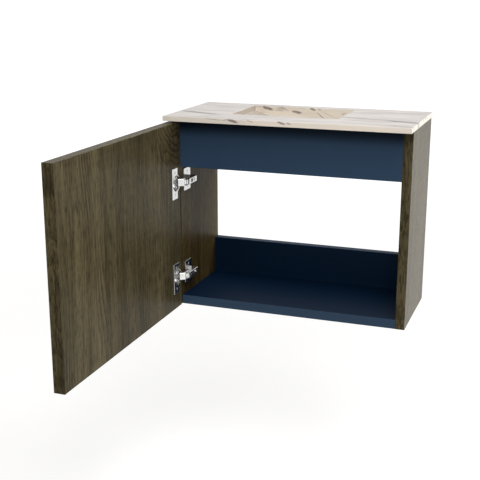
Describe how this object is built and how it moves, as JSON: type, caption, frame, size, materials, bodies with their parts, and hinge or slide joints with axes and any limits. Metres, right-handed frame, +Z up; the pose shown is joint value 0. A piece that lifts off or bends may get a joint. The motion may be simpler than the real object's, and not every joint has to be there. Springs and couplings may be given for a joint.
{
  "type": "wall-hung cloakroom vanity unit",
  "caption": "Wall-hung cloakroom vanity: oak-look open-backed cabinet, hinged door, navy rails and a marble slab with a sharp-edged ramp basin.",
  "frame": {"origin": "on the wall plane, midway between the two wall screws", "axes": "+X to the right seen from the room, +Y towards the wall, +Z up"},
  "size_m": [0.505, 0.713, 0.41],
  "materials": {
    "oak_board": "dark olive-brown oak decor, matt, vertical grain",
    "oak_edging": "edging strip in the colour of the oak decor, matt",
    "navy_board": "navy melamine face, matt",
    "navy_edging": "navy edging strip, matt",
    "marble": "pale marble with grey veins, satin",
    "beech_dowel": "plain beech",
    "hinge_nickel": "bright nickel plate",
    "screw_steel": "zinc plate"
  },
  "bodies": {
    "carcass": {"side_panel_left": "oak_board", "side_panel_right": "oak_board", "side_panel_left_edging": "oak_edging", "side_panel_right_edging": "oak_edging", "dowels_left": "beech_dowel", "dowels_right": "beech_dowel", "bottom_panel": "navy_board", "bottom_panel_edging": "navy_edging", "front_rail": "navy_board", "front_rail_edging": "navy_edging", "hanging_rail": "navy_board", "low_rail": "navy_board", "low_rail_edging": "navy_edging", "countertop": "marble", "basin_front_wall": "marble", "basin_back_wall": "marble", "basin_end_wall": "marble", "basin_ramp": "marble", "basin_floor": "marble", "upper_hinge_arm": "hinge_nickel", "upper_hinge_arm_rivets": "screw_steel", "upper_hinge_inner_link_pin": "screw_steel", "upper_mounting_plate": "hinge_nickel", "upper_mounting_plate_screws": "screw_steel", "upper_hinge_lock_screw": "screw_steel", "upper_hinge_side_screw": "screw_steel", "lower_hinge_arm": "hinge_nickel", "lower_hinge_arm_rivets": "screw_steel", "lower_hinge_inner_link_pin": "screw_steel", "lower_mounting_plate": "hinge_nickel", "lower_mounting_plate_screws": "screw_steel", "lower_hinge_lock_screw": "screw_steel", "lower_hinge_side_screw": "screw_steel"},
    "outer_links": {"upper_hinge_outer_link": "hinge_nickel", "lower_hinge_outer_link": "hinge_nickel"},
    "inner_links": {"upper_hinge_inner_link": "hinge_nickel", "lower_hinge_inner_link": "hinge_nickel"},
    "door": {"door_panel": "oak_board", "door_edging_free_side": "oak_edging", "door_edging_hinge_side": "oak_edging", "door_edging_bottom": "oak_edging", "door_edging_top": "oak_edging", "upper_hinge_cup": "hinge_nickel", "upper_hinge_cup_screws": "screw_steel", "upper_hinge_cup_pin": "screw_steel", "lower_hinge_cup": "hinge_nickel", "lower_hinge_cup_screws": "screw_steel", "lower_hinge_cup_pin": "screw_steel"}
  },
  "joints": [
    {"name": "door_swing", "type": "hinge", "parent": "outer_links", "child": "door", "pos_m": [-0.233, -0.22949, 0], "axis": [0, 0, 1], "range_deg": [-7.44, 133.86]},
    {"name": "outer_link_swing", "type": "hinge", "parent": "carcass", "child": "outer_links", "pos_m": [-0.219, -0.2195, 0], "axis": [0, 0, 1], "range_deg": [-43.86, 2.44]},
    {"name": "inner_link_swing", "type": "hinge", "parent": "carcass", "child": "inner_links", "pos_m": [-0.2145, -0.2165, 0], "axis": [0, 0, 1], "range_deg": [-43.86, 2.44]}
  ],
  "couplings": [
    {"joint": "outer_link_swing", "follows": "door_swing", "ratio": -0.32765},
    {"joint": "inner_link_swing", "follows": "door_swing", "ratio": -0.32765}
  ]
}
